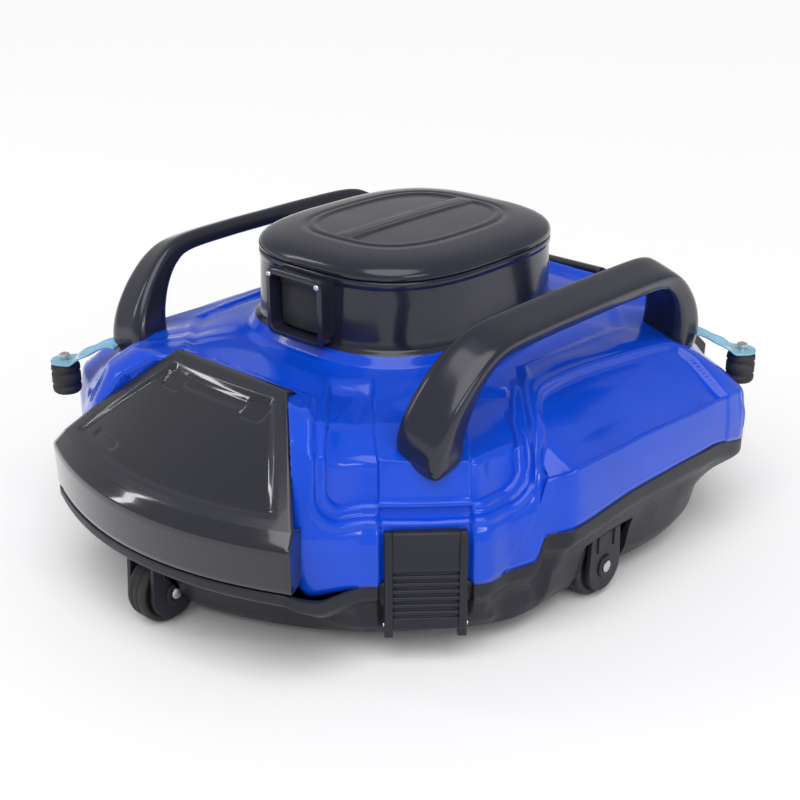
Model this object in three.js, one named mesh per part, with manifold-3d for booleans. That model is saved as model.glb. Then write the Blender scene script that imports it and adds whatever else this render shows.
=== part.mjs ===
// Cordless pool-floor cleaner. Millimetres, +Z up, front towards -Y, origin on the ground under its centre.
// The body is the same after half a turn about Z, so most outer pieces are made once and copied.
import * as THREE from 'three';
import { mergeVertices } from 'three/addons/utils/BufferGeometryUtils.js';
import { ConvexGeometry } from 'three/addons/geometries/ConvexGeometry.js';
import Module from 'manifold-3d';

const wasm = await Module();
wasm.setup();

// ---- driving dimensions ----
const WALL = 3;
const FIT = 0.35; // gap left between pieces that touch
const HALF_WIDTH = 174;
const NOSE_REACH = 223; // how far the rim of each nose stands out from the centre
const NOSE_TIP = { x: 99, y: 199 };
const SKIRT_TOP = 58; // lower edge of the nose covers
const BAND_TOP = 84; // top of a cover's upright band, where its bevel starts
const PAN_FLOOR = 10;

const LATCH = { distance: 178, width: 44, thick: 8, bottom: 17, top: 79, clearance: 1.5 };
const DOME = { x: 72.7, y: 86, parting: 184, bottom: 126, power: 3 };
const NOZZLE = { halfWidth: 22, reach: 97, bottom: 144, top: 183, wall: 3.5 };
const WHEEL = { radius: 20, width: 14, axle: 2, armGap: 1.6, armThick: 3.2, cheek: 15.5 };
const FRONT_WHEEL = { x: -12, y: -194 };
const SIDE_WHEEL = { x: 150, y: -8 };
const ROLLER = { x: 152.5, y: 149.5, radius: 9, bottom: 86, top: 106, pin: 2 };
const WELL = { sideGap: 2, endGap: 3.5, top: 43 }; // room round a wheel and its fork
const HANDLE = { barX: 128, barZ: 171, width: 23.5, thick: 11, tilt: 0.32, power: 3.6 };
const SEAM = { corner: 48, side: 66 }; // height of the joint between shell and base
const COLLAR = { foot: 9, footZ: 137, top: 143 }; // raised ring of the shell around the dome
const TRAY = { halfX: 75, halfY: 55, bottom: 15.5, top: 76, wall: 2.4, windowEdge: 9 };
const INTAKE = { halfX: 55, halfY: 11 };
const FLAP_HINGE = { y: 14, z: 16, half: 61, hole: 1.5 };
const MOTOR = { radius: 20, bottom: 130, top: 172, shaft: 2.5 };
const IMPELLER = { radius: 31, bottom: 110, top: 120, blades: 6 };

const GRAPHITE = { color: 0x26262f, roughness: 0.3, metalness: 0 };
const BLACK = { color: 0x2a2a30, roughness: 0.45, metalness: 0 };
const BLUE = { color: 0x0a23b8, roughness: 0.2, metalness: 0 };
const SMOKE = { color: 0x1d1d24, roughness: 0.12, metalness: 0 };
const RUBBER = { color: 0x161618, roughness: 0.8, metalness: 0 };
const STEEL = { color: 0xb8bcc2, roughness: 0.3, metalness: 1 };
const SKY = { color: 0x8fd0ec, roughness: 0.25, metalness: 0 };
const WHITE = { color: 0xdfe3e6, roughness: 0.5, metalness: 0 };
const GREEN = { color: 0x1d5a34, roughness: 0.5, metalness: 0 };

// ---- solids ----
function solid(geometry) {
  const bare = geometry.index ? geometry.toNonIndexed() : geometry.clone();
  bare.deleteAttribute('normal');
  bare.deleteAttribute('uv');
  const merged = mergeVertices(bare, 1e-4);
  const mesh = new wasm.Mesh({
    numProp: 3,
    vertProperties: new Float32Array(merged.attributes.position.array),
    triVerts: new Uint32Array(merged.index.array),
  });
  return new wasm.Manifold(mesh);
}

function finish(name, body, look) {
  const data = body.getMesh();
  const geometry = new THREE.BufferGeometry();
  geometry.setAttribute('position', new THREE.BufferAttribute(new Float32Array(data.vertProperties), 3));
  geometry.setIndex(new THREE.BufferAttribute(new Uint32Array(data.triVerts), 1));
  geometry.computeVertexNormals();
  const mesh = new THREE.Mesh(geometry, new THREE.MeshStandardMaterial(look));
  mesh.name = name;
  return mesh;
}

// Skins a list of loops that all have the same number of points. Open ends are closed with a fan.
// Either winding of the loops gives a solid that faces outwards.
function loft(loops, ring = false) {
  const body = skin(loops, ring);
  return body.volume() > 0 ? body : skin(loops.map((loop) => [...loop].reverse()), ring);
}

function skin(loops, ring) {
  const count = loops[0].length;
  const positions = loops.flat().flatMap((p) => [p.x, p.y, p.z]);
  const index = [];
  const rows = ring ? loops.length : loops.length - 1;
  for (let k = 0; k < rows; k += 1) {
    const low = k * count;
    const high = ((k + 1) % loops.length) * count;
    for (let i = 0; i < count; i += 1) {
      const j = (i + 1) % count;
      index.push(low + i, low + j, high + j);
      index.push(low + i, high + j, high + i);
    }
  }
  if (!ring) {
    for (const end of [0, loops.length - 1]) {
      const middle = new THREE.Vector3();
      loops[end].forEach((p) => middle.addScaledVector(p, 1 / count));
      const centre = positions.length / 3;
      positions.push(middle.x, middle.y, middle.z);
      for (let i = 0; i < count; i += 1) {
        const a = end * count + i;
        const b = end * count + ((i + 1) % count);
        index.push(...(end === 0 ? [centre, b, a] : [centre, a, b]));
      }
    }
  }
  const geometry = new THREE.BufferGeometry();
  geometry.setAttribute('position', new THREE.Float32BufferAttribute(positions, 3));
  geometry.setIndex(index);
  return solid(geometry);
}

function box(x0, x1, y0, y1, z0, z1) {
  const geometry = new THREE.BoxGeometry(x1 - x0, y1 - y0, z1 - z0);
  return solid(geometry.translate((x0 + x1) / 2, (y0 + y1) / 2, (z0 + z1) / 2));
}

// A round bar between two points.
function rod(from, to, radius, sides = 16) {
  const along = to.clone().sub(from);
  const geometry = new THREE.CylinderGeometry(radius, radius, along.length(), sides);
  const turn = new THREE.Quaternion();
  turn.setFromUnitVectors(new THREE.Vector3(0, 1, 0), along.clone().normalize());
  geometry.applyQuaternion(turn);
  const middle = from.clone().add(to).multiplyScalar(0.5);
  return solid(geometry.translate(middle.x, middle.y, middle.z));
}

// Turns a closed profile of [radius, height] pairs about the Z axis.
function turned(profile, sides) {
  const points = [...profile, profile[0]].map(([r, z]) => new THREE.Vector2(r, z));
  return solid(new THREE.LatheGeometry(points, sides).rotateX(Math.PI / 2));
}

// Drops the offcuts that a cut leaves loose.
function largest(body) {
  return body.decompose().sort((a, b) => b.volume() - a.volume())[0];
}

const at = (x, y, z) => new THREE.Vector3(x, y, z);
const halfTurn = (body) => body.rotate([0, 0, 180]);

// ---- outlines seen from above ----
// A point by the latch: `out` along the corner diagonal, `side` across it.
function cornerPoint(out, side) {
  return [(out + side) * Math.SQRT1_2, (side - out) * Math.SQRT1_2];
}

function latchNotch(face, depth) {
  const half = LATCH.width / 2 + LATCH.clearance;
  return [
    cornerPoint(face, -half - 2.5),
    cornerPoint(face - depth, -half),
    cornerPoint(face - depth, half),
    cornerPoint(face, half + 2.5),
  ];
}

function noseArc(tip, reach, steps) {
  const arc = [];
  for (let i = 0; i <= steps; i += 1) {
    const t = (2 * i) / steps - 1;
    const bow = 1 - t * t;
    arc.push([tip.x * t, -(tip.y + (reach - tip.y) * bow)]);
  }
  return arc;
}

const withHalfTurn = (half) => [...half, ...half.map(([x, y]) => [-x, -y])];

const SHELL_OUTLINE = withHalfTurn([
  [-92, -184],
  [92, -184],
  ...latchNotch(LATCH.distance + 7, 7),
  [154, -92],
  [161, -72],
  [HALF_WIDTH, -60],
  [HALF_WIDTH, 125],
  [161, 135],
  [142, 145],
  [110, 173],
]);
const RIM_OUTLINE = withHalfTurn([
  ...noseArc(NOSE_TIP, NOSE_REACH, 8),
  ...latchNotch(LATCH.distance + 7, 7),
  [154, -92],
  [161, -72],
  [HALF_WIDTH, -60],
  [HALF_WIDTH, 125],
  [161, 135],
  [142, 145],
  [110, 177],
]);
const SKIRT_OUTLINE = withHalfTurn([
  ...noseArc({ x: 84, y: 182 }, 202, 8),
  ...latchNotch(LATCH.distance + 3, 3),
  [150, -88],
  [156, -70],
  [165, -56],
  [165, 112],
  [140, 130],
  [104, 164],
]);
const FLOOR_OUTLINE = withHalfTurn([
  [-70, -160],
  [-30, -168],
  [30, -168],
  [70, -160],
  cornerPoint(168, -25),
  cornerPoint(168, 25),
  [141, -62],
  [143, -40],
  [133, 40],
  [140, 74],
  [148, 96],
  [126, 118],
  [96, 146],
]);

function radiusAt(outline, angle) {
  const dx = Math.cos(angle);
  const dy = Math.sin(angle);
  let best = 0;
  for (let i = 0; i < outline.length; i += 1) {
    const [x1, y1] = outline[i];
    const [x2, y2] = outline[(i + 1) % outline.length];
    const ex = x2 - x1;
    const ey = y2 - y1;
    const area = dx * ey - dy * ex;
    if (Math.abs(area) < 1e-9) continue;
    const reach = (x1 * ey - y1 * ex) / area;
    const along = (x1 * dy - y1 * dx) / area;
    if (reach > 0 && along > -1e-6 && along < 1 + 1e-6) best = Math.max(best, reach);
  }
  return best;
}

// One set of directions serves every outline: all their corners, and the wide gaps filled in.
function directions() {
  const corners = [...SHELL_OUTLINE, ...RIM_OUTLINE].map(([x, y]) => Math.atan2(y, x));
  corners.sort((a, b) => a - b);
  const kept = corners.filter((a, i) => i === 0 || a - corners[i - 1] > 0.004);
  const widest = 0.19;
  const result = [];
  kept.forEach((a, i) => {
    const next = i + 1 < kept.length ? kept[i + 1] : kept[0] + 2 * Math.PI;
    const pieces = Math.ceil((next - a) / widest);
    for (let k = 0; k < pieces; k += 1) result.push(a + ((next - a) * k) / pieces);
  });
  return result;
}
const ANGLES = directions();

function ovalRadius(x, y, angle, power = DOME.power) {
  const c = Math.abs(Math.cos(angle)) / x;
  const s = Math.abs(Math.sin(angle)) / y;
  return (c ** power + s ** power) ** (-1 / power);
}

// Height of the seam between the blue shell and the black base: low at the latches, high along the sides.
function seamHeight(angle) {
  const degrees = THREE.MathUtils.radToDeg(angle);
  const folded = ((degrees % 180) + 180) % 180; // 135 is a latch corner, 90 a nose, 0 a side
  const fromLatch = Math.abs(folded - 135);
  if (folded > 63.4 && folded < 116.6) return SKIRT_TOP;
  return THREE.MathUtils.lerp(SEAM.corner, SEAM.side, THREE.MathUtils.smoothstep(fromLatch, 14, 26));
}

function level(radius, height) {
  return ANGLES.map((a) => {
    const r = radius(a);
    const z = typeof height === 'function' ? height(a) : height;
    return at(r * Math.cos(a), r * Math.sin(a), z);
  });
}

const shellRadius = (scale, inset) => (a) => scale * radiusAt(SHELL_OUTLINE, a) - inset;
const collarRadius = (grow) => (a) => ovalRadius(DOME.x + 0.6 + grow, DOME.y + 0.6 + grow, a);

// ---- outer body ----
const SHELL_LEVELS = [
  { scale: 0.985, z: 92 },
  { scale: 0.93, z: 111 },
  { scale: 0.76, z: 129 },
];

function shellOutside(grow) {
  const loops = [level(shellRadius(1, -grow), (a) => seamHeight(a) - grow)];
  SHELL_LEVELS.forEach(({ scale, z }) => loops.push(level(shellRadius(scale, -grow), z + grow)));
  loops.push(level(collarRadius(COLLAR.foot), COLLAR.footZ + grow));
  loops.push(level(collarRadius(WALL), COLLAR.top + grow));
  return loops;
}

function upperShell() {
  const inside = [
    level(collarRadius(0), COLLAR.top),
    level(collarRadius(0), COLLAR.footZ - WALL),
    ...[...SHELL_LEVELS].reverse().map(({ scale, z }) => level(shellRadius(scale, WALL), z - WALL)),
    level(shellRadius(1, WALL), seamHeight),
  ];
  const pocket = nosePocket();
  const whole = loft([...shellOutside(0), ...inside], true).subtract(pocket).subtract(halfTurn(pocket));
  return largest(whole);
}

// The box a wheel turns in. A side wheel's well is open to the outside, as far as `beyond`.
function wheelWell(place, beyond, grow) {
  const halfX = WHEEL.width / 2 + WHEEL.armGap + WHEEL.armThick + WELL.sideGap + grow;
  const halfY = WHEEL.radius + WELL.endGap + grow;
  const { x, y } = place;
  return box(x - halfX, x + halfX + beyond, y - halfY, y + halfY, -9, WELL.top + grow);
}

// A bar along X at the intake flap's hinge line.
function hingeLine(half, radius, sides) {
  const { y, z } = FLAP_HINGE;
  return rod(at(-half, y, z), at(half, y, z), radius, sides);
}

function basePan() {
  const rim = (inset) => (a) => radiusAt(RIM_OUTLINE, a) - inset;
  const skirt = (inset) => (a) => radiusAt(SKIRT_OUTLINE, a) - inset;
  const floor = (inset) => (a) => radiusAt(FLOOR_OUTLINE, a) - inset;
  const skirtZ = 38;
  const rimZ = 44;
  const top = (a) => seamHeight(a) - FIT;
  const outside = [
    level(floor(0), PAN_FLOOR),
    level(skirt(0), skirtZ),
    level(rim(2), rimZ),
    level(rim(0.5), top),
  ];
  const inside = [
    level(floor(WALL), PAN_FLOOR + WALL),
    level(skirt(WALL), skirtZ + WALL),
    level(rim(2 + WALL), rimZ + WALL),
    level(rim(WALL), top),
    level(rim(WALL), (a) => top(a) + 30),
  ];
  const hull = loft(outside);
  let body = hull.subtract(loft(inside));
  for (const [place, beyond] of [[FRONT_WHEEL, 0], [SIDE_WHEEL, 20]]) {
    for (const turn of [(b) => b, halfTurn]) {
      body = body.add(turn(wheelWell(place, beyond, WALL)).intersect(hull));
      body = body.subtract(turn(wheelWell(place, beyond, 0)));
    }
  }
  body = body.subtract(box(-INTAKE.halfX, INTAKE.halfX, -INTAKE.halfY, INTAKE.halfY, 0, 20));
  for (const x of [-FLAP_HINGE.half, FLAP_HINGE.half - 4]) {
    body = body.add(box(x, x + 4, FLAP_HINGE.y - 4, FLAP_HINGE.y + 4, PAN_FLOOR + 1, FLAP_HINGE.z + 4));
  }
  body = body.subtract(hingeLine(FLAP_HINGE.half + 1, FLAP_HINGE.hole, 12));
  return body.subtract(loft(shellOutside(FIT)));
}

// The dark cover of a nose: a faceted hood over a curved rim. An inset wedge hollows it out, and
// runs past its back and underside so that both stay open.
function noseWedge(inset) {
  const k = inset;
  const open = k > 0 ? 9 : 0;
  const points = [];
  for (const [x, y] of noseArc({ x: NOSE_TIP.x - k, y: NOSE_TIP.y - k }, NOSE_REACH - k, 10)) {
    points.push(at(x, y, SKIRT_TOP - open));
    points.push(at(x, y, BAND_TOP));
    points.push(at(x * 0.96, y + 6, BAND_TOP + 7 - k));
  }
  for (const s of [1, -1]) {
    points.push(at(s * (46 - k), -147 - k * 0.6, 140 - k));
    points.push(at(s * (40 - k), -139 + open, 140 - k));
    points.push(at(s * (96 - k), -190 + open, SKIRT_TOP - open));
    points.push(at(s * (96 - k), -192 + open, BAND_TOP + 8 - k));
  }
  return solid(new ConvexGeometry(points));
}

// The hollow left in the shell for a cover: the cover's own shape, grown evenly about its middle.
function nosePocket() {
  const middle = [0, -180, 105];
  const away = middle.map((v) => -v);
  return noseWedge(0).translate(away).scale([1.008, 1.015, 1.015]).translate(middle);
}

function noseCover() {
  return largest(noseWedge(0).subtract(noseWedge(WALL)));
}

// ---- dome ----
function oval(x, y, z, sides = 32) {
  const loop = [];
  for (let i = 0; i < sides; i += 1) {
    const a = (2 * Math.PI * i) / sides;
    const r = ovalRadius(x, y, a);
    loop.push(at(r * Math.cos(a), r * Math.sin(a), z));
  }
  return loop;
}

const BUTTON = { y: -18, z: 160, radius: 7 };
const PORT = { y: 20, z: 160, radius: 6 };

function domeHousing() {
  const { x, y, bottom, parting } = DOME;
  const rings = [oval(x, y, bottom), oval(x, y, parting)];
  rings.push(oval(x - WALL, y - WALL, parting), oval(x - WALL, y - WALL, bottom));
  let body = loft(rings, true);
  const inner = loft([oval(x - WALL, y - WALL, bottom), oval(x - WALL, y - WALL, parting)]);
  const { halfWidth, reach, bottom: low, top, wall } = NOZZLE;
  for (const turn of [(b) => b, halfTurn]) {
    const duct = box(-halfWidth, halfWidth, -reach, -60, low, top);
    const lip = box(-halfWidth - 1.5, halfWidth + 1.5, -reach, -reach + 4, low - 0.6, top + 0.7);
    const bore = box(-halfWidth + wall, halfWidth - wall, -reach - 5, -50, low + wall, top - wall);
    body = body.add(turn(duct.add(lip)).subtract(inner)).subtract(turn(bore));
  }
  for (const hole of [BUTTON, PORT]) {
    const from = at(-x - 5, hole.y, hole.z);
    body = body.subtract(rod(from, at(-x + 22, hole.y, hole.z), hole.radius + FIT, 20));
  }
  return body;
}

function domeCap() {
  const { x, y, parting } = DOME;
  const seat = parting + FIT;
  return loft([
    oval(40, 52, 194.2),
    oval(62, 75, 190.5),
    oval(x - WALL, y - WALL, seat),
    oval(x, y, seat),
    oval(x - 1.2, y - 1.2, 189),
    oval(66, 79, 194),
    oval(54, 67, 196.6),
    oval(30, 40, 198),
  ]);
}

function domeSeal() {
  const { x, y, parting } = DOME;
  const out = WALL + FIT;
  const wide = out + 3;
  const low = parting - 3.2;
  const rings = [oval(x - out, y - out, low), oval(x - out, y - out, parting)];
  rings.push(oval(x - wide, y - wide, parting), oval(x - wide, y - wide, low));
  return loft(rings, true);
}

function outletFlap() {
  const half = NOZZLE.halfWidth - NOZZLE.wall - 0.5;
  const y = -NOZZLE.reach + 9;
  const z = NOZZLE.top - NOZZLE.wall - 3;
  const plate = box(-half, half, y - 0.9, y + 0.9, NOZZLE.bottom + NOZZLE.wall + 0.6, z);
  const knuckle = rod(at(-half, y, z), at(half, y, z), 2.4, 16);
  return plate.add(knuckle).subtract(rod(at(-half - 1, y, z), at(half + 1, y, z), 1.3, 12));
}

function outletPin() {
  const half = NOZZLE.halfWidth - NOZZLE.wall - FIT;
  const y = -NOZZLE.reach + 9;
  const z = NOZZLE.top - NOZZLE.wall - 3;
  return rod(at(-half, y, z), at(half, y, z), 1.2, 12);
}

// ---- handles ----
// A flat bar on two swept legs. The section turns with the path, and the feet are cut to the shell.
function handle() {
  const { barX, barZ, width, thick, tilt, power } = HANDLE;
  const path = [
    [118, -112, 92], [119, -114, 112], [121, -111, 128], [123, -104, 146],
    [126, -94, 161], [barX, -78, 169.5], [barX, -58, barZ],
  ];
  const mirrored = path.map(([x, y, z]) => [x, -y, z]).reverse();
  const spine = [...path, ...mirrored].map((p) => at(...p));
  const stations = spine.length;
  const loops = spine.map((p, i) => {
    const before = spine[Math.max(i - 1, 0)];
    const after = spine[Math.min(i + 1, stations - 1)];
    const along = after.clone().sub(before).normalize();
    const across = at(Math.cos(tilt), 0, -Math.sin(tilt));
    across.addScaledVector(along, -across.dot(along)).normalize();
    const out = new THREE.Vector3().crossVectors(across, along).normalize();
    const end = Math.min(i, stations - 1 - i);
    const wide = width * (1 + 0.08 * Math.max(0, 5 - end));
    const deep = thick * (1 + 0.26 * Math.max(0, 4 - end));
    const section = [];
    for (let k = 0; k < 12; k += 1) {
      const a = (2 * Math.PI * (k + 0.5)) / 12;
      const r = ovalRadius(wide / 2, deep / 2, a, power);
      section.push(p.clone().addScaledVector(across, r * Math.cos(a)).addScaledVector(out, r * Math.sin(a)));
    }
    return section;
  });
  return loft(loops).subtract(loft(shellOutside(FIT)));
}

// ---- running gear ----
function placed(body, place) {
  return body.translate([place.x, place.y, 0]);
}

function wheel() {
  const { radius, width, axle } = WHEEL;
  const h = width / 2;
  const bore = axle + 0.08;
  const profile = [
    [bore, -h], [6, -h], [8, -h + 2.4], [radius - 4, -h + 2.4], [radius - 2, -h],
    [radius, -h + 1], [radius, h - 1], [radius - 2, h], [radius - 4, h - 2.4],
    [8, h - 2.4], [6, h], [bore, h],
  ];
  return turned(profile, 24).rotate([0, 90, 0]).translate([0, 0, radius]);
}

function wheelAxle() {
  const half = WHEEL.width / 2 + WHEEL.armGap + WHEEL.armThick + 0.6;
  return rod(at(-half, 0, WHEEL.radius), at(half, 0, WHEEL.radius), WHEEL.axle, 16);
}

function wheelFork() {
  const { width, armGap, armThick, radius, axle, cheek } = WHEEL;
  const inner = width / 2 + armGap;
  const outer = inner + armThick;
  const ceiling = WELL.top - FIT;
  let body = box(-outer, outer, -14, 14, ceiling - 1.6, ceiling);
  for (const s of [1, -1]) {
    const low = Math.min(s * inner, s * outer);
    const faces = [low, low + armThick];
    const points = faces.flatMap((x) => [at(x, -14, ceiling), at(x, 14, ceiling)]);
    for (let k = 0; k <= 12; k += 1) {
      const a = Math.PI + (Math.PI * k) / 12;
      faces.forEach((x) => points.push(at(x, cheek * Math.cos(a), radius + cheek * Math.sin(a))));
    }
    const arm = new ConvexGeometry(points);
    body = body.add(solid(arm));
  }
  const tyreRoom = rod(at(-inner, 0, radius), at(inner, 0, radius), radius + 1, 28);
  const pinHole = rod(at(-outer - 1, 0, radius), at(outer + 1, 0, radius), axle + FIT, 16);
  return body.subtract(tyreRoom).subtract(pinHole);
}

function guideRoller() {
  const { radius, bottom, top, pin } = ROLLER;
  const profile = [
    [pin + 0.08, bottom], [radius - 1.2, bottom], [radius, bottom + 1.2],
    [radius, top - 1.2], [radius - 1.2, top], [pin + 0.08, top],
  ];
  return turned(profile, 20);
}

function rollerPin() {
  const { bottom, top, pin } = ROLLER;
  return rod(at(0, 0, bottom - 1.5), at(0, 0, top + 4.5), pin, 16);
}

// The pale blade that carries a corner roller: a flat eye over the roller, a bend and a tail on the shell.
function rollerArm() {
  const { x, y, top } = ROLLER;
  const inward = at(-0.78, -0.62, 0).normalize();
  const across = at(-inward.y, inward.x, 0);
  const rows = [[-6, 1.2, 5.5], [8, 1.2, 6.5], [17, 4.5, 6.5], [25, 8, 5.5], [33, 11, 4]];
  const loops = rows.map(([reach, rise, half]) => {
    const p = at(x, y, top + rise).addScaledVector(inward, reach);
    const corner = (s, lift) => p.clone().addScaledVector(across, s * half).add(at(0, 0, lift));
    return [corner(1, 0), corner(-1, 0), corner(-1, 2.2), corner(1, 2.2)];
  });
  const eye = rod(at(x, y, top - 1), at(x, y, top + 8), ROLLER.pin + FIT, 16);
  return largest(loft(loops).subtract(eye).subtract(loft(shellOutside(FIT))));
}

// ---- latches ----
// Built facing +X at the origin, then turned to its corner.
function toCorner(body) {
  return body.rotate([0, 0, -45]);
}

function latch() {
  const { distance: d, width, thick, bottom, top } = LATCH;
  const h = width / 2;
  let body = box(d + 1, d + thick, -h, h, bottom + 3, top);
  for (let i = 0; i < 7; i += 1) {
    const z = bottom + 11 + i * 4.4;
    body = body.subtract(box(d + thick - 1.6, d + thick + 1, -h + 5, h - 5, z, z + 2));
  }
  for (const s of [1, -1]) {
    const edge = s * (h - 2.8);
    body = body.add(box(d + 1, d + 6.5, edge - 2.8, edge + 2.8, bottom - 2, bottom + 8));
  }
  return body.subtract(rod(at(d + 4, -h - 1, bottom + 6), at(d + 4, h + 1, bottom + 6), 1.4, 12));
}

function latchPin() {
  const half = LATCH.width / 2 + 0.8;
  const x = LATCH.distance + 4;
  return rod(at(x, -half, LATCH.bottom + 6), at(x, half, LATCH.bottom + 6), 1.2, 12);
}

// ---- pump and power ----
function pumpDeck() {
  const plate = loft([oval(80, 92, 122), oval(80, 92, DOME.bottom - FIT)]);
  return plate.subtract(rod(at(0, 0, 120), at(0, 0, 130), 6, 24));
}

function impellerShroud() {
  return turned([[35, 106], [38, 106], [38, 122 - FIT], [35, 122 - FIT]], 32);
}

function motorCan() {
  const { radius, bottom, top, shaft } = MOTOR;
  const bore = shaft + FIT;
  const profile = [
    [0, bottom + 9], [bore, bottom + 9], [bore, bottom], [radius - 1.5, bottom],
    [radius, bottom + 1.5], [radius, top - 1.5], [radius - 1.5, top], [0, top],
  ];
  const points = profile.map(([r, z]) => new THREE.Vector2(r, z));
  return solid(new THREE.LatheGeometry(points, 28).rotateX(Math.PI / 2));
}

function motorShaft() {
  return rod(at(0, 0, 107), at(0, 0, MOTOR.bottom + 8), MOTOR.shaft, 16);
}

function impeller() {
  const { radius, bottom, top, blades } = IMPELLER;
  let body = turned([[2, bottom], [radius, bottom], [radius, bottom + 1.6], [2, bottom + 1.6]], 24);
  body = body.add(turned([[2, bottom], [8, bottom], [8, top], [2, top]], 24));
  for (let i = 0; i < blades; i += 1) {
    const blade = box(6, radius - 1, -0.9, 0.9, bottom + 0.8, top - 1);
    body = body.add(blade.rotate([0, 0, (360 * i) / blades]));
  }
  return body.subtract(rod(at(0, 0, 100), at(0, 0, 125), MOTOR.shaft + 0.1, 16));
}

function batteryPack() {
  return box(34, 57, -36, 36, DOME.bottom + 1, 172);
}

function powerButton() {
  const { y, z, radius } = BUTTON;
  return rod(at(-DOME.x - 2, y, z), at(-DOME.x + 8, y, z), radius, 20);
}

function chargePortCap() {
  const { y, z, radius } = PORT;
  const stem = rod(at(-DOME.x - 1, y, z), at(-DOME.x + 7, y, z), radius, 20);
  return stem.add(rod(at(-DOME.x - 3, y, z), at(-DOME.x - FIT, y, z), radius + 2.5, 20));
}

// ---- filter ----
function filterTray() {
  const { halfX, halfY, bottom, top, wall, windowEdge } = TRAY;
  let body = box(-halfX, halfX, -halfY, halfY, bottom, top);
  body = body.subtract(box(-halfX + wall, halfX - wall, -halfY + wall, halfY - wall, bottom + wall, top + 1));
  body = body.subtract(box(-FLAP_HINGE.half - 1, FLAP_HINGE.half + 1, -14, 20, bottom - 1, bottom + 4));
  const window = halfX - windowEdge;
  return body.subtract(box(-window, window, -halfY - 1, halfY + 1, bottom + 11, top - 6));
}

function filterMesh() {
  const { halfX, halfY, bottom, top, wall, windowEdge } = TRAY;
  const y = -halfY + wall / 2;
  const half = halfX - windowEdge - FIT;
  return box(-half, half, y - 0.6, y + 0.6, bottom + 11 + FIT, top - 6 - FIT);
}

function intakeFlap() {
  const half = INTAKE.halfX - 1;
  const plate = box(-half, half, -INTAKE.halfY - 1, FLAP_HINGE.y - 1, 13.5, 15.1);
  return plate.add(hingeLine(half, 2.4, 16)).subtract(hingeLine(half + 2, 1.3, 12));
}

function intakePin() {
  return hingeLine(FLAP_HINGE.half, 1.15, 12);
}

// ---- assembly ----
const group = new THREE.Group();
group.name = 'pool_cleaner';
const add = (name, body, look) => group.add(finish(name, body, look));

function addPair(first, second, body, look) {
  add(first, body, look);
  add(second, halfTurn(body), look);
}

add('base_pan', basePan(), BLACK);
add('upper_shell', upperShell(), BLUE);
addPair('nose_cover_front', 'nose_cover_rear', noseCover(), SMOKE);
add('dome_housing', domeHousing(), GRAPHITE);
add('dome_cap', domeCap(), GRAPHITE);
add('dome_seal', domeSeal(), RUBBER);
addPair('outlet_flap_front', 'outlet_flap_rear', outletFlap(), BLACK);
addPair('outlet_pin_front', 'outlet_pin_rear', outletPin(), STEEL);
addPair('handle_right', 'handle_left', handle(), GRAPHITE);

const spots = [
  ['front', 'rear', FRONT_WHEEL],
  ['right', 'left', SIDE_WHEEL],
];
for (const [first, second, place] of spots) {
  addPair(`wheel_${first}`, `wheel_${second}`, placed(wheel(), place), RUBBER);
  addPair(`wheel_axle_${first}`, `wheel_axle_${second}`, placed(wheelAxle(), place), STEEL);
  addPair(`wheel_fork_${first}`, `wheel_fork_${second}`, placed(wheelFork(), place), BLACK);
}

addPair('guide_roller_right', 'guide_roller_left', placed(guideRoller(), ROLLER), RUBBER);
addPair('roller_pin_right', 'roller_pin_left', placed(rollerPin(), ROLLER), STEEL);
addPair('roller_arm_right', 'roller_arm_left', rollerArm(), SKY);
addPair('latch_right', 'latch_left', toCorner(latch()), BLACK);
addPair('latch_pin_right', 'latch_pin_left', toCorner(latchPin()), STEEL);

add('pump_deck', pumpDeck(), BLACK);
add('impeller_shroud', impellerShroud(), BLACK);
add('motor_can', motorCan(), STEEL);
add('motor_shaft', motorShaft(), STEEL);
add('impeller', impeller(), WHITE);
addPair('battery_right', 'battery_left', batteryPack(), SKY);
add('control_board', box(-30, 30, -20, 20, 176, 177.6), GREEN);
add('power_button', powerButton(), RUBBER);
add('charge_port_cap', chargePortCap(), RUBBER);
add('filter_tray', filterTray(), WHITE);
addPair('filter_mesh_front', 'filter_mesh_rear', filterMesh(), WHITE);
add('intake_flap', intakeFlap(), RUBBER);
add('intake_pin', intakePin(), STEEL);

export default group;
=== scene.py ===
import math

import bmesh
import bpy
import numpy as np
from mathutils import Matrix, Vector


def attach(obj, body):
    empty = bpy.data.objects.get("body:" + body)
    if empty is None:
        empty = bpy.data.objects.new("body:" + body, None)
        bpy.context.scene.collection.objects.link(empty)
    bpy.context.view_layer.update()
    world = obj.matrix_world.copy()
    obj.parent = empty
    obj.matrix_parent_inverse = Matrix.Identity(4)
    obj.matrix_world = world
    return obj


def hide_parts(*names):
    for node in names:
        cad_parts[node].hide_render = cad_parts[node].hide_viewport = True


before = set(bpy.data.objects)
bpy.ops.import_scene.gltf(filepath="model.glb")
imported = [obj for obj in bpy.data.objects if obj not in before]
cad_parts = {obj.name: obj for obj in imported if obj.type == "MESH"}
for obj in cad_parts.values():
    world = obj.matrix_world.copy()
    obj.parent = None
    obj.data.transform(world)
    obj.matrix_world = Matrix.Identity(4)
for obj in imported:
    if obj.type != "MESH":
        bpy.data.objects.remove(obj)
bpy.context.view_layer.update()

MM = 0.001
WALL = 3.0
HALF_WIDTH = 174.0
# The nose covers: where their rim ends in plan, how far it reaches, and its band from foot to top.
NOSE_TIP = (99.0, 199.0)
NOSE_REACH = 223.0
SKIRT_TOP = 58.0
BAND_TOP = 84.0
DOME_X, DOME_Y = 72.7, 86.0
DOME_POWER = 3.0
LATCH_OUT = 178.0
LATCH_HALF = 22.0
LATCH_CHANNEL_HALF = 24.6
DIAGONAL = math.sqrt(0.5)


# --- materials
def set_inputs(node, **values):
    """Sets a node's sockets by name, with an underscore for each space."""
    for key, value in values.items():
        node.inputs[key.replace("_", " ")].default_value = value


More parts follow.
